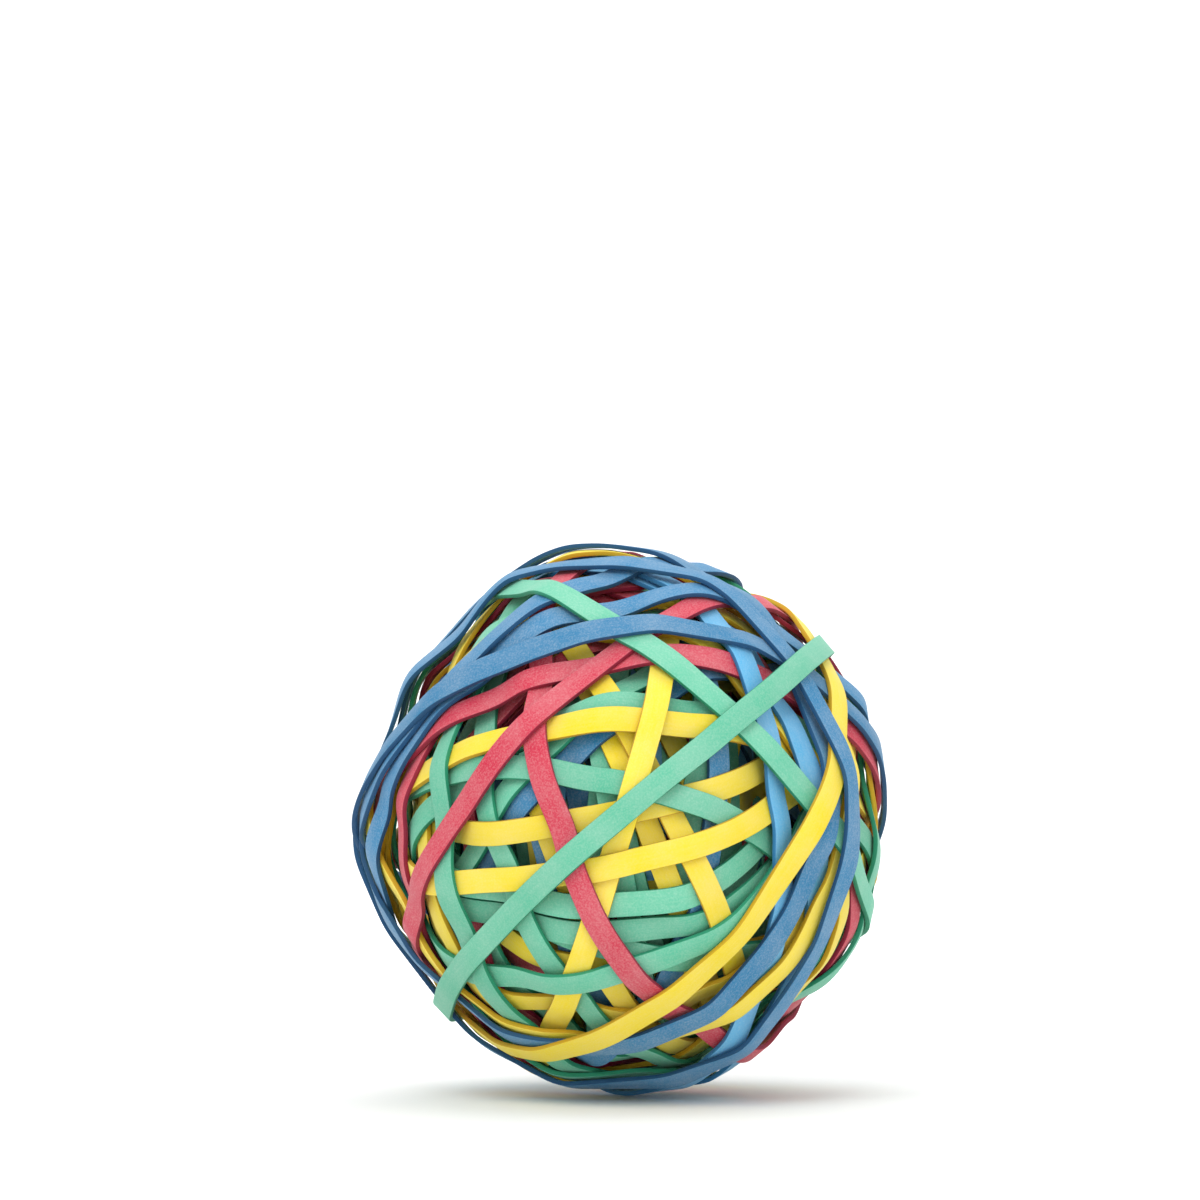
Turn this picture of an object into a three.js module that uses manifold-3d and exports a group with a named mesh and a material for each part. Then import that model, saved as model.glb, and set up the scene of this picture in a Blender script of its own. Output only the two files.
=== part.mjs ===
// A rubber band ball: flat rubber bands stretched one over another round a tight middle of earlier bands.
// Units are millimetres, +Z is up, and the origin is the middle of the ball.
import * as THREE from "three";
import { mergeVertices } from "three/addons/utils/BufferGeometryUtils.js";
import Module from "manifold-3d";

// Driving dimensions
const ballRadii = { x: 36.2, y: 36.6, z: 38.4 }; // the ball as it is wound, a little taller than wide
const bandWidth = 3.4; // as it lies stretched on the ball
const bandThickness = 0.65; // a 1/32 inch wall, thinned by being stretched by half its length
const air = 0.06; // space left between two bands that touch

// The tight middle, which gives way under the outer bands until the ball is round
const firstDepth = 7; // how far under the ball's surface it is at first
const windings = 6; // how many times the outer bands are wound on in finding its shape
const giveShare = 0.8; // how much of a band's stand-out the middle gives way at each winding
const pressSlope = 12; // how soon it rises again round a pile of bands, millimetres a square radian
const innerSides = 40; // its facets round the ball
const innerRings = 24; // its facets from top to bottom

// How a band settles on what is under it
const pressedGap = 0.4; // a band with others over it is pressed down to this far from its bed
const looseBands = 6; // the last bands laid have little or nothing over them
const looseGap = 0.8; // so they may float this far, from one high spot to the next
const steepest = 0.3; // how fast a band runs down beside a band that it crosses
const mostTilt = 18; // how far a band tips sideways on uneven ground, degrees
const tiltReach = 6; // stations on each side that share a tilt

// How finely a band is laid
const stations = 300; // places round a loop where the band feels for what is under it
const feelersAcross = [-1.05, -0.7, -0.35, 0, 0.35, 0.7, 1.05]; // in half widths
const spare = 0.45; // how far beyond an earlier band's edge its height still counts
const flat = 0.15; // how far a straight run may cut into round ground, before the band is lifted clear
const longestRun = 60; // the most stations in one straight run
const liftRounds = 12; // how many times a band is lifted off what its straight runs still cut
const leastLift = 0.005; // a lift too small to matter
const leastCut = 0.002; // the overlap that counts as one solid cutting into another, cubic millimetres
const nudge = 0.04; // how far a run that cuts in is lifted at a time

const rubber = {
  red: 0xc8385a,
  green: 0x5bc29a,
  yellow: 0xf0dc30,
  blue: 0x3d80b8,
  light_blue: 0x6fb0d8,
  inner: 0x6a6f5e,
};

// Every outer band in the order it was laid, from the lowest to the one on top of all.
//   slope: how steeply it climbs to the right where it crosses the front, degrees
//   lean: how far its loop is tipped towards the back at its upper side, degrees
//   offset: how far its loop lies above the middle of the ball, along its own axis
//   sway: how far it strays to each side of a flat loop, as a long S
const bands = [
  { colour: "green", slope: 78, lean: -14, offset: 0 },
  { colour: "green", slope: 86, lean: 8, offset: 0 },
  { colour: "green", slope: -76, lean: -2, offset: 0 },
  { colour: "blue", slope: -80, lean: -22, offset: 0 },
  { colour: "yellow", slope: -4, lean: -34, offset: -1 },
  { colour: "red", slope: 46, lean: 38, offset: 6 },
  { colour: "green", slope: -68, lean: -50, offset: 0 },
  { colour: "green", slope: -80, lean: -2, offset: -1 },
  { colour: "green", slope: 80, lean: 56, offset: 1 },
  { colour: "yellow", slope: -68, lean: 2, offset: 1 },
  { colour: "blue", slope: 80, lean: -30, offset: 6 },
  { colour: "yellow", slope: -72, lean: -22, offset: 1.5 },
  { colour: "green", slope: -12, lean: -24, offset: -3 },
  { colour: "red", slope: -90, lean: -46, offset: 0 },
  { colour: "red", slope: -26, lean: 56, offset: 7 },
  { colour: "yellow", slope: 76, lean: -60, offset: 0 },
  { colour: "blue", slope: 42, lean: 28, offset: -3.5 },
  { colour: "green", slope: 44, lean: 28, offset: -0.5 },
  { colour: "red", slope: 42, lean: 50, offset: -0.5 },
  { colour: "green", slope: 8, lean: -32, offset: 5 },
  { colour: "green", slope: 10, lean: -34, offset: 10 },
  { colour: "yellow", slope: -64, lean: 8, offset: 1 },
  { colour: "yellow", slope: 20, lean: -62, offset: 9 },
  { colour: "green", slope: -68, lean: -30, offset: -1 },
  { colour: "yellow", slope: 12, lean: -10, offset: 8 },
  { colour: "yellow", slope: -74, lean: -36, offset: -12 },
  { colour: "green", slope: 8, lean: 42, offset: -8.5 },
  { colour: "green", slope: -14, lean: 22, offset: -7.5 },
  { colour: "yellow", slope: 2, lean: 24, offset: 0 },
  { colour: "yellow", slope: 74, lean: -4, offset: 3.5 },
  { colour: "green", slope: 24, lean: -36, offset: 3.5 },
  { colour: "yellow", slope: 14, lean: -14, offset: 4 },
  { colour: "green", slope: -80, lean: -42, offset: -3 },
  { colour: "red", slope: -56, lean: 62, offset: 0 },
  { colour: "green", slope: -56, lean: 74, offset: -10 },
  { colour: "green", slope: 8, lean: -76, offset: 0.5 },
  { colour: "red", slope: 62, lean: 64, offset: -1 },
  { colour: "yellow", slope: -40, lean: 70, offset: -12 },
  { colour: "light_blue", slope: -78, lean: 52, offset: -2 },
  { colour: "yellow", slope: 14, lean: 64, offset: -1.5 },
  { colour: "red", slope: -68, lean: -28, offset: 8 },
  { colour: "red", slope: 6, lean: 38, offset: 1.5 },
  { colour: "light_blue", slope: -86, lean: 42, offset: -2.5 },
  { colour: "yellow", slope: 40, lean: -72, offset: 12 },
  { colour: "red", slope: 46, lean: 24, offset: 5.5 },
  { colour: "blue", slope: 26, lean: 56, offset: 0 },
  { colour: "blue", slope: 40, lean: 30, offset: 18 },
  { colour: "green", slope: -42, lean: 18, offset: 10.5 },
  { colour: "blue", slope: 54, lean: -64, offset: 12 },
  { colour: "blue", slope: 6, lean: 44, offset: 2 },
  { colour: "yellow", slope: 48, lean: -34, offset: -0.5 },
  { colour: "blue", slope: -90, lean: 70, offset: -10 },
  { colour: "green", slope: 44, lean: 6, offset: -1.5, sway: -1.2 },
];

const turn = 2 * Math.PI;
const halfWidth = bandWidth / 2;

// How far out the surface of the whole ball is in one direction.
function ballHeight(direction) {
  return 1 / direction.clone().divide(ballRadii).length();
}

// The direction from the centre to one corner of the tight middle.
function innerDirection(ring, side) {
  const down = (ring * Math.PI) / innerRings;
  return new THREE.Vector3().setFromSphericalCoords(1, down, (side * turn) / innerSides);
}

const innerDirections = Array.from({ length: innerRings + 1 }, (_, ring) =>
  Array.from({ length: innerSides }, (_, side) => innerDirection(ring, side)),
);
const innerHeights = innerDirections.map((row) => row.map((direction) => ballHeight(direction) - firstDepth));

// How far the surface of the tight middle is from the centre, in one direction.
function innerHeight(direction) {
  const place = new THREE.Spherical().setFromVector3(direction);
  const ring = (place.phi / Math.PI) * innerRings;
  const side = THREE.MathUtils.euclideanModulo((place.theta / turn) * innerSides, innerSides);
  const above = Math.min(Math.floor(ring), innerRings - 1);
  const left = Math.floor(side) % innerSides;
  const right = (left + 1) % innerSides;
  const onRow = (row) => THREE.MathUtils.lerp(innerHeights[row][left], innerHeights[row][right], side - left);
  return THREE.MathUtils.lerp(onRow(above), onRow(above + 1), ring - above);
}

// The loop's own directions: its axis, the way it faces at the front, and the way it runs there.
function loopFrame({ slope, lean }) {
  const climb = THREE.MathUtils.degToRad(slope);
  const tip = THREE.MathUtils.degToRad(lean);
  const along = new THREE.Vector3(Math.cos(climb), 0, Math.sin(climb));
  const up = new THREE.Vector3(-Math.sin(climb), 0, Math.cos(climb));
  const back = new THREE.Vector3(0, 1, 0);
  const axis = up.clone().multiplyScalar(Math.cos(tip)).addScaledVector(back, Math.sin(tip));
  const front = up.clone().multiplyScalar(Math.sin(tip)).addScaledVector(back, -Math.cos(tip));
  return { axis, front, along };
}

// The side shift of a band's middle line at an angle round its loop.
function sideShift({ offset, sway = 0 }, angle) {
  return offset + sway * Math.sin(2 * angle);
}

// A laid band's line at an angle round its loop: straight between two corners of its outline.
function lineAt(corners, angle) {
  const wanted = THREE.MathUtils.euclideanModulo(angle, turn);
  const found = corners.findIndex((corner) => corner.angle > wanted);
  const next = Math.max(found, 0);
  const a = corners[(next + corners.length - 1) % corners.length];
  const b = corners[next];
  const sweep = THREE.MathUtils.euclideanModulo(b.angle - a.angle, turn);
  const turned = THREE.MathUtils.euclideanModulo(wanted - a.angle, turn);
  const fromA = a.radius * Math.sin(turned);
  const toB = b.radius * Math.sin(sweep - turned);
  const radius = (a.radius * b.radius * Math.sin(sweep)) / (fromA + toB);
  const share = fromA / (fromA + toB);
  const side = THREE.MathUtils.lerp(a.side, b.side, share);
  const tilt = THREE.MathUtils.lerp(a.tilt, b.tilt, share);
  return { angle, radius, side, tilt, ends: [a, b] };
}

// A band's section at one place of its loop: its middle underneath, and its ways across and out.
function sectionAt({ axis, front, along }, { angle, side, tilt, radius }) {
  const outward = front.clone().multiplyScalar(Math.cos(angle)).addScaledVector(along, Math.sin(angle));
  const lie = Math.atan2(side, radius) + tilt;
  return {
    bed: outward.clone().multiplyScalar(radius).addScaledVector(axis, side),
    across: axis.clone().multiplyScalar(Math.cos(lie)).addScaledVector(outward, -Math.sin(lie)),
    out: outward.clone().multiplyScalar(Math.cos(lie)).addScaledVector(axis, Math.sin(lie)),
  };
}

// The top of a laid band in one direction, or zero where the band isn't.
function bandHeight({ frame, corners }, direction) {
  const rise = direction.dot(frame.axis);
  const ahead = direction.dot(frame.front);
  const aside = direction.dot(frame.along);
  const { radius, side, tilt } = lineAt(corners, Math.atan2(aside, ahead));
  const bed = Math.hypot(radius, side);
  const swing = Math.atan2(rise, Math.hypot(ahead, aside)) - Math.atan2(side, radius) - tilt;
  const top = (bed * Math.cos(tilt) + bandThickness) / Math.cos(swing);
  const across = top * Math.sin(swing) + bed * Math.sin(tilt);
  return Math.abs(across) < halfWidth + spare ? top : 0;
}

// How far out a band may lie in one direction, over all that is there already.
function groundHeight(direction, laidBands) {
  const heights = laidBands.map((laid) => bandHeight(laid, direction));
  return Math.max(innerHeight(direction), ...heights) + air;
}

// The ground under a band that lies about so far out: how far across each feeler is and how high.
function groundAt({ frame, side, angle, laidBands }, bed) {
  const lift = Math.asin(side / bed);
  return feelersAcross.map((share) => {
    const swing = Math.atan((share * halfWidth) / bed);
    const direction = new THREE.Vector3()
      .addScaledVector(frame.front, Math.cos(angle) * Math.cos(lift + swing))
      .addScaledVector(frame.along, Math.sin(angle) * Math.cos(lift + swing))
      .addScaledVector(frame.axis, Math.sin(lift + swing));
    const ground = groundHeight(direction, laidBands);
    return { across: ground * Math.sin(swing), height: ground * Math.cos(swing) };
  });
}

// The ground at one place, felt again from where the last feeling put the band.
function settledGround(place) {
  let bed = ballRadii.x;
  for (let i = 0; i < 3; i += 1) bed = bedOn(groundAt(place, bed), 0);
  return groundAt(place, bed);
}

// How far out the middle of a band lies when it is tipped by an angle on some ground.
function bedOn(ground, tilt) {
  return Math.max(...ground.map(({ across, height }) => height + across * Math.tan(tilt)));
}

// The tilt at which a band sits lowest.
function restingTilt(ground) {
  let best = 0;
  for (let degrees = -mostTilt; degrees <= mostTilt; degrees += 2) {
    const tilt = THREE.MathUtils.degToRad(degrees);
    if (bedOn(ground, tilt) < bedOn(ground, best) - leastLift) best = tilt;
  }
  return best;
}

// The mean of the tilts round one station, so that a band twists gently.
function sharedTilt(tilts, station) {
  let sum = 0;
  for (let i = -tiltReach; i <= tiltReach; i += 1) sum += tilts[(station + i + stations) % stations];
  return sum / (2 * tiltReach + 1);
}

// Raises the points beside each high one, so that the band runs down from it at an easy slope.
function easeSlopes(points) {
  const drop = (steepest * ballRadii.x * turn) / stations;
  const ease = (point, beside) => (point.radius = Math.max(point.radius, beside.radius - drop));
  for (let i = 0; i < 2 * stations; i += 1) ease(points[(i + 1) % stations], points[i % stations]);
  for (let i = 2 * stations; i > 0; i -= 1) ease(points[(i - 1) % stations], points[i % stations]);
}

// Whether a straight run between two points keeps close enough to the points between them.
function runFits(start, between, end, gap) {
  const run = [start, end].sort((a, b) => a.angle - b.angle);
  return between.every((point) => {
    const float = lineAt(run, point.angle).radius - point.radius;
    return float > -flat && float < gap;
  });
}

// The corners of a loop of straight runs round a ring of points, floating no more than a gap above.
function straightRuns(points, gap) {
  const highest = points.reduce((best, point, i) => (point.radius > points[best].radius ? i : best), 0);
  const ring = [...points.slice(highest), ...points.slice(0, highest + 1)];
  const corners = [];
  let from = 0;
  while (from < stations) {
    let to = from + 1;
    for (let far = to + 1; far <= Math.min(stations, from + longestRun); far += 1) {
      if (runFits(ring[from], ring.slice(from + 1, far), ring[far], gap)) to = far;
    }
    corners.push({ ...ring[from] });
    from = to;
  }
  return corners.sort((a, b) => a.angle - b.angle);
}

// Raises both ends of each run that would cut into what is under it.
function clearGround({ frame, corners }, angles, laidBands) {
  for (let round = 0; round < liftRounds; round += 1) {
    const lifts = new Map(corners.map((corner) => [corner, 0]));
    for (const angle of angles) {
      const line = lineAt(corners, angle);
      const { bed, across } = sectionAt(frame, line);
      for (const share of feelersAcross) {
        const under = bed.clone().addScaledVector(across, share * halfWidth);
        const cut = groundHeight(under.clone().normalize(), laidBands) - under.length();
        line.ends.forEach((corner) => lifts.set(corner, Math.max(lifts.get(corner), cut)));
      }
    }
    lifts.forEach((lift, corner) => (corner.radius += lift));
    if (Math.max(...lifts.values()) < leastLift) return;
  }
}

// Lays one band over all the bands before it.
function layBand(band, laidBands) {
  const frame = loopFrame(band);
  const angles = Array.from({ length: stations }, (_, i) => (i * turn) / stations);
  const sides = angles.map((angle) => sideShift(band, angle));
  const grounds = angles.map((angle, i) => settledGround({ frame, side: sides[i], angle, laidBands }));
  const tilts = grounds.map(restingTilt);
  const points = angles.map((angle, i) => {
    const tilt = sharedTilt(tilts, i);
    return { angle, side: sides[i], tilt, radius: Math.sqrt(bedOn(grounds[i], tilt) ** 2 - sides[i] ** 2) };
  });
  easeSlopes(points);
  const loose = laidBands.length >= bands.length - looseBands;
  const laid = { band, frame, corners: straightRuns(points, loose ? looseGap : pressedGap) };
  clearGround(laid, angles, laidBands);
  return laid;
}

// A closed geometry as a manifold-3d solid.
function solidOf(geometry) {
  const vertProperties = geometry.getAttribute("position").array;
  const triVerts = Uint32Array.from(geometry.index.array);
  return new manifold.Manifold(new manifold.Mesh({ numProp: 3, vertProperties, triVerts }));
}

// The corners of a manifold-3d solid.
function pointsOf(solid) {
  const { vertProperties, numProp, numVert } = solid.getMesh();
  const pointAt = (i) => new THREE.Vector3().fromArray(vertProperties, i * numProp);
  return Array.from({ length: numVert }, (_, i) => pointAt(i));
}

// Lifts each run of a band that still cuts into a solid under it, and gives the band's own solid.
function clearSolids({ frame, corners }, solids) {
  for (;;) {
    const solid = solidOf(bandGeometry({ frame, corners }));
    const cutting = new Set();
    for (const under of solids) {
      const cut = solid.intersect(under);
      const points = cut.volume() > leastCut ? pointsOf(cut) : [];
      for (const point of points) {
        const angle = Math.atan2(point.dot(frame.along), point.dot(frame.front));
        lineAt(corners, angle).ends.forEach((corner) => cutting.add(corner));
      }
      cut.delete();
    }
    if (cutting.size === 0) return solid;
    cutting.forEach((corner) => (corner.radius += nudge));
    solid.delete();
  }
}

// Winds every outer band on in turn, each clear of the solids under it where those are given.
function windBands(solids) {
  const laidBands = [];
  for (const band of bands) {
    const laid = layBand(band, laidBands);
    if (solids) solids.push(clearSolids(laid, solids));
    laidBands.push(laid);
  }
  return laidBands;
}

// How far the outer bands stand out of the ball around one direction.
function standOut(direction, laidBands) {
  let most = -firstDepth;
  for (const { frame, corners } of laidBands) {
    for (const corner of corners) {
      const { bed } = sectionAt(frame, corner);
      const swing = bed.angleTo(direction);
      const out = bed.length() + bandThickness - ballHeight(bed.normalize());
      most = Math.max(most, out - pressSlope * swing * swing);
    }
  }
  return most;
}

// Lets the tight middle give way where the outer bands stand out, and fill out where they lie low.
function pressMiddle(laidBands) {
  const outs = innerDirections.map((row) => row.map((direction) => standOut(direction, laidBands)));
  outs.forEach((row, ring) => row.forEach((out, side) => (innerHeights[ring][side] -= giveShare * out)));
}

function innerGeometry() {
  const sphere = new THREE.SphereGeometry(1, innerSides, innerRings);
  sphere.deleteAttribute("normal");
  sphere.deleteAttribute("uv");
  const geometry = mergeVertices(sphere);
  const places = geometry.getAttribute("position");
  for (let i = 0; i < places.count; i += 1) {
    const direction = new THREE.Vector3().fromBufferAttribute(places, i);
    places.setXYZ(i, ...direction.multiplyScalar(innerHeight(direction)));
  }
  geometry.computeVertexNormals();
  return geometry;
}

// A closed ring of rubber with a rectangular section at each corner of its loop.
function bandGeometry({ frame, corners }) {
  const section = [[-1, 0], [1, 0], [1, 1], [-1, 1]]; // in half widths across and thicknesses out
  const positions = [];
  const indices = [];
  corners.forEach((corner, i) => {
    const { bed, across, out } = sectionAt(frame, corner);
    const here = section.length * i;
    const there = section.length * ((i + 1) % corners.length);
    section.forEach(([sideways, outwards], edge) => {
      const place = bed.clone().addScaledVector(across, sideways * halfWidth);
      positions.push(...place.addScaledVector(out, outwards * bandThickness));
      const other = (edge + 1) % section.length;
      indices.push(here + edge, here + other, there + other);
      indices.push(here + edge, there + other, there + edge);
    });
  });
  const geometry = new THREE.BufferGeometry();
  geometry.setAttribute("position", new THREE.Float32BufferAttribute(positions, 3));
  geometry.setIndex(indices);
  geometry.computeVertexNormals();
  return geometry;
}

function addPiece(name, geometry, colour) {
  const material = new THREE.MeshStandardMaterial({ color: rubber[colour], roughness: 0.75, metalness: 0 });
  const mesh = new THREE.Mesh(geometry, material);
  mesh.name = name;
  ball.add(mesh);
}

const manifold = await Module();
manifold.setup();
for (let winding = 1; winding < windings; winding += 1) pressMiddle(windBands());

const ball = new THREE.Group();
addPiece("inner_bands", innerGeometry(), "inner");
windBands([solidOf(innerGeometry())]).forEach((laid, i) => {
  const number = String(i + 1).padStart(2, "0");
  addPiece(`band_${number}_${laid.band.colour}`, bandGeometry(laid), laid.band.colour);
});

// The middle of the ball's box goes to the origin.
const middle = new THREE.Box3().setFromObject(ball).getCenter(new THREE.Vector3());
ball.children.forEach((piece) => piece.position.sub(middle));

export default ball;
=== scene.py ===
import math
import bpy
import numpy as np
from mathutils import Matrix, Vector
from mathutils.bvhtree import BVHTree


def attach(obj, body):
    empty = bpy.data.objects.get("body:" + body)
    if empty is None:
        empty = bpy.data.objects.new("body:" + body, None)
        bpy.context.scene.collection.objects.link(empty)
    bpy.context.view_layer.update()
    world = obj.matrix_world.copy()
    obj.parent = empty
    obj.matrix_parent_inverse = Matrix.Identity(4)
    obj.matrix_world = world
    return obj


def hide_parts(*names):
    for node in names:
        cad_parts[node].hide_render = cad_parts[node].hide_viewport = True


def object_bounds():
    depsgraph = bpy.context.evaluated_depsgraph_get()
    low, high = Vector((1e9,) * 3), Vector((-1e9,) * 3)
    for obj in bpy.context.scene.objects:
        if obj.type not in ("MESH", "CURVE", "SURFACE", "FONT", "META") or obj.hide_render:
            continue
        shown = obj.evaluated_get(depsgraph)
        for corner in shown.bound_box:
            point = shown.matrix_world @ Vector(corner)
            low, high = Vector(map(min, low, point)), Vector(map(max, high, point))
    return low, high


# A rubber band ball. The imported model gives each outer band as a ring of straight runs; here every band
# is made again as a bending strip of rubber, over a tight middle of earlier bands.

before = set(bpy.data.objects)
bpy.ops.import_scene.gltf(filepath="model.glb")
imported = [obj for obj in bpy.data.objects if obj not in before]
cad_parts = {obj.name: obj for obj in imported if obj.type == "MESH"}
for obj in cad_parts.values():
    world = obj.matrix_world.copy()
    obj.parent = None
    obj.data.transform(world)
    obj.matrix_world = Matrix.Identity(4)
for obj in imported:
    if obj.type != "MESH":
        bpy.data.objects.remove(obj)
cadLow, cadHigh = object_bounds()
ballMiddle = (cadLow + cadHigh) / 2
mm = 0.001


# sRGB hex to linear, for every colour in the scene
def linear(hexColour, alpha=1.0):
    parts = [int(hexColour[i:i + 2], 16) / 255 for i in (1, 3, 5)]
    return [c / 12.92 if c <= 0.04045 else ((c + 0.055) / 1.055) ** 2.4 for c in parts] + [alpha]


# adds one node with its settings and links, and returns it
def add(tree, kind, settings=None, links=None):
    node = tree.nodes.new(kind)
    for name, value in (settings or {}).items():
        if isinstance(name, int) or name in node.inputs:
            node.inputs[name].default_value = value
        else:
            setattr(node, name, value)
    for socket, source in (links or {}).items():
        tree.links.new(source, node.inputs[socket])
    return node


rubberLook = {
    "face": {"red": "#c9143c", "green": "#56b995", "yellow": "#eed314",
             "blue": "#0876a6", "light_blue": "#53a9d6"},
    # cut edges: stronger in colour without powder, and darker as painted shade on the side faces
    "cut": {"red": "#8e1433", "green": "#1f8a66", "yellow": "#c79c0a",
            "blue": "#114a72", "light_blue": "#2f78ab"},
    "talc": "#f4f1ec",  # the powder that keeps new bands from sticking
    "talcShare": 0.055,  # how much of the face it veils all over
    "talcRange": (0.1, 1.9),  # times that share, from where it has rubbed off to where it is thick
    # how much of the face the specks cover; they show most on deep colours
    "speckShare": {"red": 0.13, "green": 0.12, "yellow": 0.06, "blue": 0.13, "light_blue": 0.1},
    "speckRange": (0.42, 0.75),  # where in its noise a speck begins and where it is full
    "grainSize": 0.24,  # mm, the powder's grains gathered into specks; the real ones are finer than can show
    "lineSpacing": 0.3,  # mm, draw lines left by the extruder, a little coarser than real so that they show
    "lineRepeats": 7.0,  # how fast the lines change on the way round the loop
    "lineStrength": 0.015,  # how much lighter or darker they are
    "patchSize": 6.0,  # mm, patches where more powder has rubbed off
    "cutRange": (1.63, 1.69),  # mm from the middle line, where the face turns over into the cut edge
    "grainBump": 0.35,
    "lineBump": 0.15,
    "bumpHeight": 0.05,  # mm, for both
    "roughness": 0.62,
    "roughnessRange": (-0.08, 0.16),  # smoother where rubbed, rougher under powder
    "specular": 0.4,
    "sheen": 0.08,  # the faint bloom of powder at a grazing angle
    "sheenRoughness": 0.5,
    "ior": 1.52,  # natural rubber
}


# Natural rubber, extruded as a tube, slit across into bands and dusted with talc. It gives the eye a dull,
# slightly chalky face with pale specks, and crisp cut edges that are stronger in colour where no powder lies,
# and darker with painted shade, as these side faces lie in shade.
def talcedRubber(colour):
    material = bpy.data.materials.new("talcedRubber_" + colour)
    material.use_nodes = True
    tree = material.node_tree
    tree.nodes.clear()
    look = rubberLook
    place = add(tree, "ShaderNodeTexCoord").outputs["Object"]
    # "run" holds the place across in mm, then the turn round the loop as its cosine and sine
    run = add(tree, "ShaderNodeAttribute", {"attribute_name": "run"}).outputs["Vector"]
    toneAndPaintedShade = add(tree, "ShaderNodeAttribute", {"attribute_name": "toneAndPaintedShade"}).outputs["Fac"]
    across = add(tree, "ShaderNodeSeparateXYZ", links={"Vector": run}).outputs["X"]

    # face colour: slow patches of more and less powder, with specks and draw lines over them
    patches = add(tree, "ShaderNodeTexNoise", {"Scale": 1 / (look["patchSize"] * mm), "Detail": 3.0},
                  {"Vector": place})
    specks = add(tree, "ShaderNodeTexNoise", {"Scale": 1 / (look["grainSize"] * mm), "Detail": 2.0},
                 {"Vector": place})
    speckLow, speckHigh = look["speckRange"]
    grain = add(tree, "ShaderNodeMapRange", {"From Min": speckLow, "From Max": speckHigh},
                {"Value": specks.outputs["Fac"]})
    stretch = (1 / look["lineSpacing"], look["lineRepeats"], look["lineRepeats"])
    lineScale = add(tree, "ShaderNodeVectorMath", {"operation": "MULTIPLY", 1: stretch}, {0: run})
    lines = add(tree, "ShaderNodeTexNoise", {"Scale": 1.0, "Detail": 2.0},
                {"Vector": lineScale.outputs["Vector"]})
    thin, thick = look["talcRange"]
    veil = add(tree, "ShaderNodeMapRange",
               {"From Min": 0.3, "From Max": 0.7, "To Min": thin, "To Max": thick},
               {"Value": patches.outputs["Fac"]})
    powder = add(tree, "ShaderNodeMath", {"operation": "MULTIPLY", 1: look["talcShare"]},
                 {0: veil.outputs["Result"]})
    speckle = add(tree, "ShaderNodeMath", {"operation": "MULTIPLY_ADD", 1: look["speckShare"][colour]},
                  {0: grain.outputs["Result"], 2: powder.outputs["Value"]})
    streaks = add(tree, "ShaderNodeMapRange",
                  {"From Min": 0.35, "From Max": 0.65,
                   "To Min": -look["lineStrength"], "To Max": look["lineStrength"]},
                  {"Value": lines.outputs["Fac"]})
    dust = add(tree, "ShaderNodeMath", {"operation": "ADD", "use_clamp": True},
               {0: speckle.outputs["Value"], 1: streaks.outputs["Result"]})
    face = add(tree, "ShaderNodeMix",
               {"data_type": "RGBA", 6: linear(look["face"][colour]), 7: linear(look["talc"])},
               {"Factor": dust.outputs["Value"]})
    # the band's batch tone, times painted shade on the earlier bands, scales the face's value
    toned = add(tree, "ShaderNodeHueSaturation", {}, {"Color": face.outputs[2], "Value": toneAndPaintedShade})

    # cut edges: the band's side faces, where no powder lies; their colour is also darker as painted shade
    offMiddle = add(tree, "ShaderNodeMath", {"operation": "ABSOLUTE"}, {0: across})
    cutStart, cutEnd = look["cutRange"]
    atEdge = add(tree, "ShaderNodeMapRange",
                 {"From Min": cutStart, "From Max": cutEnd, "interpolation_type": "SMOOTHSTEP"},
                 {"Value": offMiddle.outputs["Value"]})
    surface = add(tree, "ShaderNodeMix", {"data_type": "RGBA", 7: linear(look["cut"][colour])},
                  {"Factor": atEdge.outputs["Result"], 6: toned.outputs["Color"]})

    # bump: powder grains over draw lines
    grainBump = add(tree, "ShaderNodeBump",
                    {"Strength": look["grainBump"], "Distance": look["bumpHeight"] * mm},
                    {"Height": specks.outputs["Fac"]})
    lineBump = add(tree, "ShaderNodeBump",
                   {"Strength": look["lineBump"], "Distance": look["bumpHeight"] * mm},
                   {"Height": lines.outputs["Fac"], "Normal": grainBump.outputs["Normal"]})
    smoother, rougher = look["roughnessRange"]
    rough = add(tree, "ShaderNodeMapRange",
                {"To Min": look["roughness"] + smoother, "To Max": look["roughness"] + rougher},
                {"Value": patches.outputs["Fac"]})
    shader = add(tree, "ShaderNodeBsdfPrincipled",
                 {"IOR": look["ior"], "Specular IOR Level": look["specular"],
                  "Sheen Weight": look["sheen"], "Sheen Roughness": look["sheenRoughness"]},
                 {"Base Color": surface.outputs[2], "Roughness": rough.outputs["Result"],
                  "Normal": lineBump.outputs["Normal"]})
    add(tree, "ShaderNodeOutputMaterial", links={"Surface": shader.outputs["BSDF"]})
    return material


rubbers = {colour: talcedRubber(colour) for colour in rubberLook["face"]}
print("rubber ready:", len(rubbers), "colours")


# The outer bands

bandLook = {
    "width": 3.4 * mm,
    "thickness": 0.65 * mm,
    "step": 0.8 * mm,  # how far apart the sections of a band are
    "bend": 1.5 * mm,  # how far a bend is spread to each side, by the stiffness of the rubber
    "edgeRound": 0.09 * mm,  # the blade leaves the edges almost sharp
    "widthChange": 0.025,  # a band is stretched unevenly, so it is narrower here and wider there
    "shadeChange": 0.07,  # no two bands come from quite the same batch
    "sectionSpread": 0.7,  # degrees round the loop within which four CAD corners are one section
}
chance = np.random.default_rng(12)


def unit(vectors):
    return vectors / np.linalg.norm(vectors, axis=-1, keepdims=True)


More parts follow.
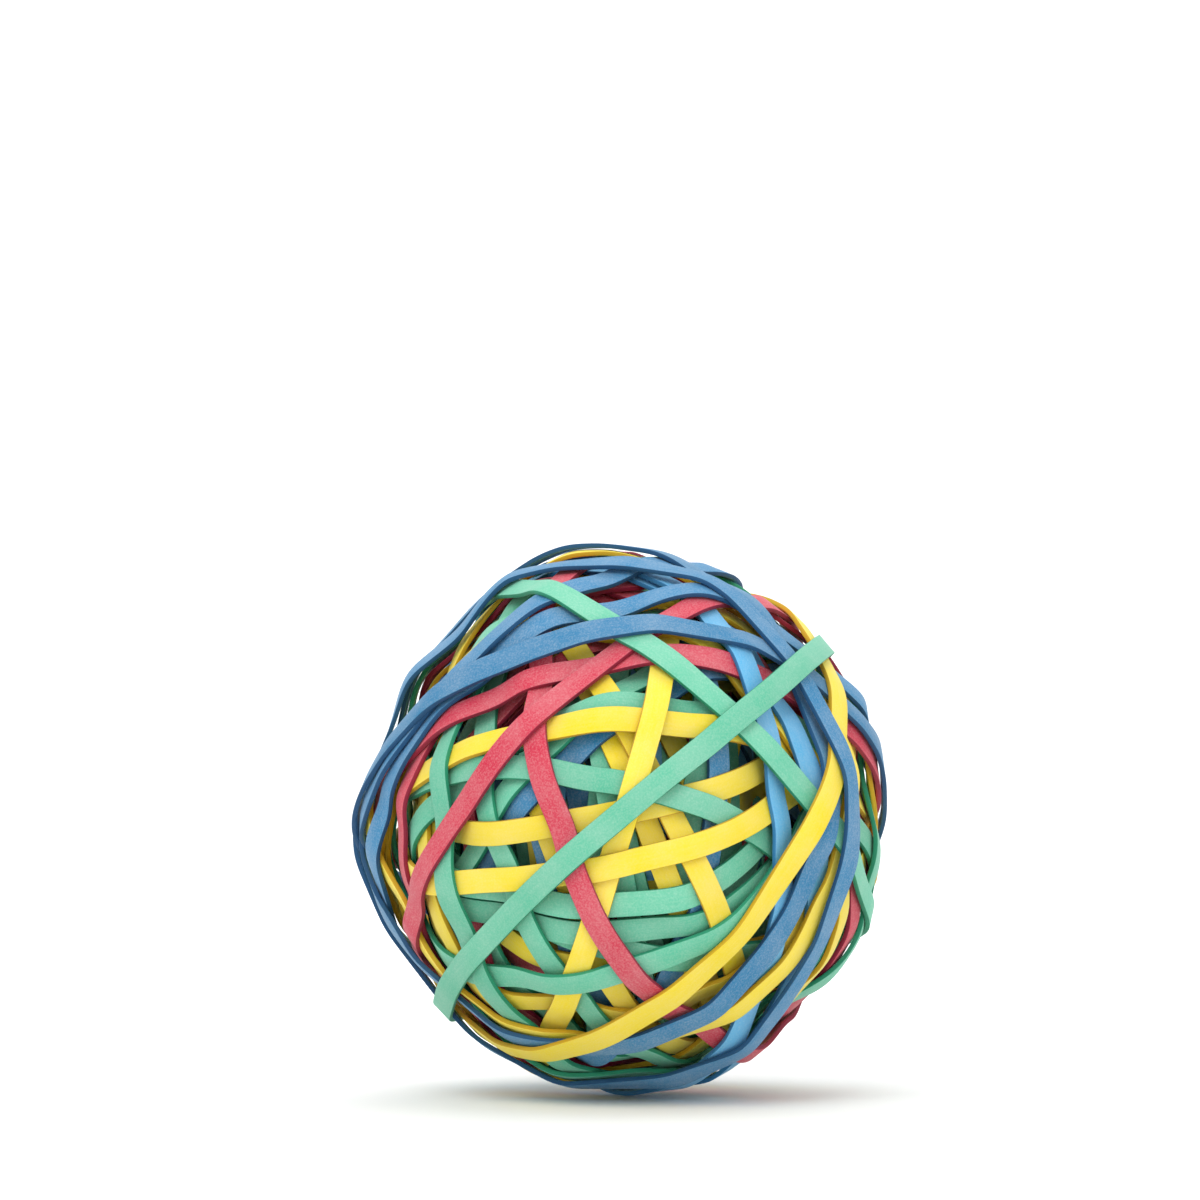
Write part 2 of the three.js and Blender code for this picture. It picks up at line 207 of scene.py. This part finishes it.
# The sections of a CAD band in order round its loop. Each is four corners, 0.65 mm apart in pairs.
def cadSections(node):
    corners = np.unique([v.co[:] for v in node.data.vertices], axis=0)
    front, along, axis = np.linalg.svd(corners - corners.mean(0))[2]
    angles = np.arctan2(corners @ along, corners @ front)
    order = np.argsort(angles)
    ring, turned = corners[order], np.degrees(angles[order])
    for start in range(4):  # the first section may lie across the end of the list
        fours = np.roll(ring, -start, axis=0).reshape(-1, 4, 3)
        spread = np.ptp(np.roll(turned, -start).reshape(-1, 4), axis=1)
        if np.minimum(spread, 360 - spread).max() < bandLook["sectionSpread"]:
            break
    beds, acrosses, outs = [], [], []
    for four in fours:
        low = four[np.argsort(np.linalg.norm(four, axis=1))]
        first = low[0]
        partner = min(range(1, 4), key=lambda i: np.linalg.norm(low[i] - first))
        others = [low[i] for i in range(1, 4) if i != partner]
        pairs = [(first, low[partner]), tuple(others)]
        pairs.sort(key=lambda pair: float((pair[0] + pair[1]) @ axis))
        (lowA, highA), (lowB, highB) = pairs
        beds.append((lowA + lowB) / 2)
        acrosses.append(lowB - lowA)
        outs.append(highA + highB - lowA - lowB)
    return np.array(beds), unit(np.array(acrosses)), unit(np.array(outs))


# Even steps round a closed line of corners, for any values given at its corners
def evenSteps(line, *values):
    closed = np.vstack([line, line[:1]])
    lengths = np.append(0, np.cumsum(np.linalg.norm(np.diff(closed, axis=0), axis=1)))
    places = np.linspace(0, lengths[-1], int(lengths[-1] / bandLook["step"]), endpoint=False)
    stepped = []
    for value in (line, *values):
        ring = np.vstack([value, value[:1]])
        stepped.append(np.stack([np.interp(places, lengths, ring[:, i]) for i in range(3)], axis=1))
    return stepped


# A ring of values, each blended with its neighbours along the band
def blendAlong(values, reach):
    steps = max(1, int(3 * reach / bandLook["step"]))
    offsets = np.arange(-steps, steps + 1)
    weights = np.exp(-0.5 * (offsets * bandLook["step"] / reach) ** 2)
    return sum(w * np.roll(values, -o, axis=0) for w, o in zip(weights / weights.sum(), offsets))


# A slow change round a loop, from -1 to 1
def slowChange(count):
    turns = np.linspace(0, 2 * math.pi, count, endpoint=False)
    return sum(np.sin(k * turns + chance.uniform(0, 2 * math.pi)) for k in (2, 3, 5, 7)) / 4


# The outline of a band's section: across and out, with small round edges
def sectionOutline():
    halfWidth, thickness, edge = bandLook["width"] / 2, bandLook["thickness"], bandLook["edgeRound"]
    outline = []
    for side, high, start in ((1, 0, 270), (1, 1, 0), (-1, 1, 90), (-1, 0, 180)):
        for turn in (0, 45, 90):
            angle = math.radians(start + turn)
            outline.append((side * (halfWidth - edge) + edge * math.cos(angle),
                            (thickness - edge if high else edge) + edge * math.sin(angle)))
    return np.array(outline)


# Makes strips of rubber into one object: each strip is its beds, its ways across and out, and its batch tone,
# which on the earlier bands also carries painted shade
def makeStrips(name, strips, colour):
    outline = sectionOutline()
    edges = len(outline)
    points, faces, runs, toneAndPaintedShades = [], [], [], []
    for beds, acrosses, outs, toneAndPaintedShade in strips:
        count = len(beds)
        first = sum(len(p) for p in points)
        widths = 1 + bandLook["widthChange"] * slowChange(count)
        sideways = widths[:, None, None] * acrosses[:, None] * outline[None, :, :1]
        points.append((beds[:, None] + sideways + outs[:, None] * outline[None, :, 1:]).reshape(-1, 3))
        here = first + np.arange(count)[:, None] * edges + np.arange(edges)[None]
        there = np.roll(here, -1, axis=0)
        sides = [here, np.roll(here, -1, axis=1), np.roll(there, -1, axis=1), there]
        faces.append(np.stack(sides, axis=-1).reshape(-1, 4))
        turns = np.linspace(0, 2 * math.pi, count, endpoint=False)
        lines = np.stack([np.broadcast_to(outline[:, 0] / mm, (count, edges)),
                          np.broadcast_to(np.cos(turns)[:, None], (count, edges)),
                          np.broadcast_to(np.sin(turns)[:, None], (count, edges))], axis=-1)
        runs.append(lines.reshape(-1, 3))
        toneAndPaintedShades.append(np.full(count * edges, toneAndPaintedShade))
    mesh = bpy.data.meshes.new(name)
    mesh.from_pydata(np.vstack(points).tolist(), [], np.vstack(faces).tolist())
    mesh.attributes.new("run", "FLOAT_VECTOR", "POINT").data.foreach_set("vector", np.vstack(runs).ravel())
    mesh.attributes.new("toneAndPaintedShade", "FLOAT", "POINT").data.foreach_set("value", np.concatenate(toneAndPaintedShades))
    mesh.polygons.foreach_set("use_smooth", [True] * len(mesh.polygons))
    mesh.validate()
    mesh.update()
    mesh.set_sharp_from_angle(angle=math.radians(50))
    mesh.materials.append(rubbers[colour])
    strip = bpy.data.objects.new(name, mesh)
    bpy.context.scene.collection.objects.link(strip)
    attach(strip, "root")
    return strip


def batchShade():
    return 1 + bandLook["shadeChange"] * chance.uniform(-1, 1)


for name, node in sorted(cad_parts.items()):
    if not name.startswith("band_"):
        continue
    beds, acrosses, outs = evenSteps(*cadSections(node))
    beds = blendAlong(beds, bandLook["bend"])
    acrosses = unit(blendAlong(acrosses, bandLook["bend"]))
    outs = blendAlong(outs, bandLook["bend"])
    outs = unit(outs - acrosses * (outs * acrosses).sum(1, keepdims=True))
    colour = name.split("_", 2)[2]
    strip = makeStrips("rubber_" + name, [(beds, acrosses, outs, batchShade())], colour)
    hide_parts(name)
print("outer bands ready")


# The tight middle, of earlier bands in random ways round

middleLook = {
    "bands": 62,
    "depth": 5.4 * mm,  # how deep these bands are modelled; under them is a core coloured near black as painted shade
    "tries": 30,  # a band goes on where it lies lowest, so each is picked from some random ways round
    "mostOffset": 13 * mm,
    "slope": 0.35,  # how fast a band runs down beside one that it crosses
    "stations": 280,
    "feelers": 7,
    "gridRows": 360,
    "toneAndPaintedShade": 0.86,  # painted shade: these bands are a little darker than the outer ones, for the shade the outer bands cast
    "shares": {"green": 0.31, "yellow": 0.25, "blue": 0.19, "red": 0.15, "light_blue": 0.1},
}

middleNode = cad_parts["inner_bands"]
middleTree = BVHTree.FromPolygons([v.co[:] for v in middleNode.data.vertices],
                                  [p.vertices[:] for p in middleNode.data.polygons])


# A grid over all directions from the centre, in rows from top to bottom
rows = middleLook["gridRows"]
columns = 2 * rows
rowAngles = (np.arange(rows) + 0.5) * math.pi / rows
columnAngles = (np.arange(columns) + 0.5) * math.pi / rows
gridWays = np.stack([np.sin(rowAngles)[:, None] * np.cos(columnAngles)[None],
                     np.sin(rowAngles)[:, None] * np.sin(columnAngles)[None],
                     np.broadcast_to(np.cos(rowAngles)[:, None], (rows, columns))], axis=-1)


def gridCells(ways):
    row = np.clip((np.arccos(np.clip(ways[..., 2], -1, 1)) / math.pi * rows).astype(int), 0, rows - 1)
    column = ((np.arctan2(ways[..., 1], ways[..., 0]) % (2 * math.pi)) / math.pi * rows).astype(int) % columns
    return row, column


# how far out the middle's surface is, felt on a coarse grid and spread to the fine one
coarse = 4
outside = 0.2
felt = np.array([[middleTree.ray_cast(Vector(way) * outside, -Vector(way))[0].length
                  for way in line[coarse // 2::coarse]] for line in gridWays[coarse // 2::coarse]])
surface = np.repeat(np.repeat(felt, coarse, axis=0), coarse, axis=1)
for _ in range(3):
    surface = (surface + np.roll(surface, 1, 1) + np.roll(surface, -1, 1)
               + np.vstack([surface[:1], surface[:-1]]) + np.vstack([surface[1:], surface[-1:]])) / 5


# The directions under a band, at stations round its loop and feelers across it
def underBand(axis, offset, radius):
    front = unit(np.cross(axis, [0.31, 0.87, 0.38]))  # from any fixed way that no axis points along
    along = np.cross(axis, front)
    turns = np.linspace(0, 2 * math.pi, middleLook["stations"], endpoint=False)
    ring = np.cos(turns)[:, None] * front + np.sin(turns)[:, None] * along
    across = np.linspace(-1, 1, middleLook["feelers"]) * bandLook["width"] / 2
    ways = unit(ring[:, None] * radius + axis * (offset + across)[None, :, None])
    return ring, ways


def windMiddle():
    height = surface - middleLook["depth"]
    strips = {colour: [] for colour in rubberLook["face"]}
    names = list(middleLook["shares"])
    drop = middleLook["slope"] * 2 * math.pi * surface.mean() / middleLook["stations"]
    for _ in range(middleLook["bands"]):
        best = None
        for _ in range(middleLook["tries"]):
            axis = unit(chance.normal(size=3))
            offset = chance.uniform(-1, 1) * middleLook["mostOffset"]
            radius = math.sqrt(surface.mean() ** 2 - offset ** 2)
            ring, ways = underBand(axis, offset, radius)
            cells = gridCells(ways)
            ground = height[cells].max(axis=1)
            over = ground - surface[cells].mean(axis=1)
            score = over.max() + over.mean()
            if best is None or score < best[0]:
                best = (score, axis, offset, ring, cells, ground)
        _, axis, offset, ring, cells, ground = best
        line = ground.copy()
        for _ in range(2):
            for i in range(len(line)):
                line[i] = max(line[i], line[i - 1] - drop)
            for i in reversed(range(len(line))):
                line[i] = max(line[i], line[(i + 1) % len(line)] - drop)
        roof = surface[cells].min(axis=1) - bandLook["thickness"]
        line = np.minimum(line, roof)
        lift = np.arcsin(offset / line)
        beds = (ring * np.cos(lift)[:, None] + axis * np.sin(lift)[:, None]) * line[:, None]
        beds, = evenSteps(beds)
        beds = blendAlong(beds, bandLook["bend"])
        outs = unit(beds)
        tangents = unit(np.roll(beds, -1, axis=0) - np.roll(beds, 1, axis=0))
        acrosses = unit(np.cross(outs, tangents))
        outs = np.cross(tangents, acrosses)
        outs *= np.sign((outs * beds).sum(1, keepdims=True))
        top = (line + bandLook["thickness"])[:, None]
        np.maximum.at(height, cells, np.repeat(top, middleLook["feelers"], axis=1))
        colour = chance.choice(names, p=list(middleLook["shares"].values()))
        # the earlier bands carry painted shade on top of their batch tone
        strips[colour].append((beds, acrosses, outs, middleLook["toneAndPaintedShade"] * batchShade()))
    return strips


for colour, strips in windMiddle().items():
    middlePiece = makeStrips("earlier_bands_" + colour, strips, colour)
    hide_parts("inner_bands")
print("tight middle wound")


# The core's two colours are painted shade: near black, for the dark deep in the ball.
heartLook = {
    "dark": "#171a12",
    "light": "#34351f",
    "relief": 0.4 * mm,
    "gap": 0.1 * mm,  # under the deepest of the bands
}


# Rubber deep in the ball, where no light gets in, coloured near black as painted shade. It gives the eye
# a dark, uneven ground in the gaps between the deepest bands.
def paintedShadeRubber():
    material = bpy.data.materials.new("paintedShadeRubber")
    material.use_nodes = True
    tree = material.node_tree
    tree.nodes.clear()
    place = add(tree, "ShaderNodeTexCoord").outputs["Object"]
    mottle = add(tree, "ShaderNodeTexNoise", {"Scale": 1 / bandLook["width"], "Detail": 3.0},
                 {"Vector": place})
    tint = add(tree, "ShaderNodeMix",
               {"data_type": "RGBA", 6: linear(heartLook["dark"]), 7: linear(heartLook["light"])},
               {"Factor": mottle.outputs["Fac"]})
    bump = add(tree, "ShaderNodeBump", {"Strength": 0.4, "Distance": heartLook["relief"]},
               {"Height": mottle.outputs["Fac"]})
    shader = add(tree, "ShaderNodeBsdfPrincipled",
                 {"IOR": rubberLook["ior"], "Roughness": 0.8, "Specular IOR Level": 0.3},
                 {"Base Color": tint.outputs[2], "Normal": bump.outputs["Normal"]})
    add(tree, "ShaderNodeOutputMaterial", links={"Surface": shader.outputs["BSDF"]})
    return material


def makeHeart():
    mesh = middleNode.data.copy()
    for vertex in mesh.vertices:
        vertex.co -= vertex.co.normalized() * (middleLook["depth"] + heartLook["gap"])
    mesh.materials.clear()
    mesh.materials.append(paintedShadeRubber())
    mesh.name = "deep_middle"
    heart = bpy.data.objects.new("deep_middle", mesh)
    bpy.context.scene.collection.objects.link(heart)
    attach(heart, "root")
    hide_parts("inner_bands")


makeHeart()
print("middle ready")


# Stage, light and camera

stageLook = {
    "floor": "#f1f1f0",
    "sweepDepth": 0.9,  # from the ball back to where the backdrop rises
    "sweepHeight": 1.2,
    "sweepBend": 0.35,
    "halfWidth": 1.6,
    "front": -1.6,
}


# one sheet of paper that runs from under the ball up behind it
def makeSweep():
    look = stageLook
    floor = cadLow.z
    profile = [(look["front"], floor), (look["sweepDepth"], floor)]
    for step in range(1, 13):
        angle = step / 12 * math.pi / 2
        profile.append((look["sweepDepth"] + look["sweepBend"] * math.sin(angle),
                        floor + look["sweepBend"] * (1 - math.cos(angle))))
    profile.append((look["sweepDepth"] + look["sweepBend"], floor + look["sweepHeight"]))
    points = [(side * look["halfWidth"], y, z) for side in (-1, 1) for y, z in profile]
    count = len(profile)
    faces = [(i, i + 1, count + i + 1, count + i) for i in range(count - 1)]
    mesh = bpy.data.meshes.new("paperSweep")
    mesh.from_pydata(points, [], faces)
    mesh.polygons.foreach_set("use_smooth", [True] * len(mesh.polygons))
    material = bpy.data.materials.new("mattePaper")  # uncoated white paper: a plain ground with a soft shadow
    material.use_nodes = True
    shader = material.node_tree.nodes["Principled BSDF"]
    shader.inputs["Base Color"].default_value = linear(look["floor"])
    shader.inputs["Roughness"].default_value = 0.9
    mesh.materials.append(material)
    sweep = bpy.data.objects.new("paper_sweep", mesh)
    bpy.context.scene.collection.objects.link(sweep)


lightLook = {  # soft boxes: place and aim from the ball's middle in metres, width, power in watts
    "key": {"place": (-0.3, -0.75, 0.9), "aim": (0, 0, 0), "width": 0.7, "power": 6.2},
    "front": {"place": (0.5, -1.0, 0.3), "aim": (0, 0, 0), "width": 0.9, "power": 2.2},
    "top": {"place": (0.1, 0.2, 1.0), "aim": (0, 0, 0), "width": 0.8, "power": 3.8},
    "backdrop": {"place": (0, 0.25, 0.7), "aim": (0, 1.25, 0.3), "width": 0.8, "power": 7.0},
}
roomLight = 0.8  # the pale room all round


def makeLights():
    for name, look in lightLook.items():
        light = bpy.data.lights.new(name, "AREA")
        light.shape = "SQUARE"
        light.size = look["width"]
        light.energy = look["power"]
        lamp = bpy.data.objects.new(name, light)
        lamp.location = ballMiddle + Vector(look["place"])
        beam = Vector(look["aim"]) - Vector(look["place"])
        lamp.rotation_euler = beam.to_track_quat("-Z", "Y").to_euler()
        bpy.context.scene.collection.objects.link(lamp)
    world = bpy.data.worlds.new("paleRoom")
    world.use_nodes = True
    background = world.node_tree.nodes["Background"]
    background.inputs["Color"].default_value = linear("#f4f6f8")
    background.inputs["Strength"].default_value = roomLight
    bpy.context.scene.world = world
    bpy.context.scene.view_settings.view_transform = "Standard"


cameraLook = {
    "place": (-2.8 * mm, -0.9, 30.7 * mm),  # from the ball's middle: level, a little above and to the left
    "frameWidth": 0.168,  # how much it takes in at the ball
    "sensor": 36.0,
}


def makeCamera():
    camera = bpy.data.cameras.new("camera")
    camera.sensor_width = cameraLook["sensor"]
    camera.lens = cameraLook["sensor"] * -cameraLook["place"][1] / cameraLook["frameWidth"]
    eye = bpy.data.objects.new("camera", camera)
    eye.location = ballMiddle + Vector(cameraLook["place"])
    eye.rotation_euler = (math.pi / 2, 0, 0)
    bpy.context.scene.collection.objects.link(eye)
    bpy.context.scene.camera = eye


makeSweep()
makeLights()
makeCamera()
print("stage ready")
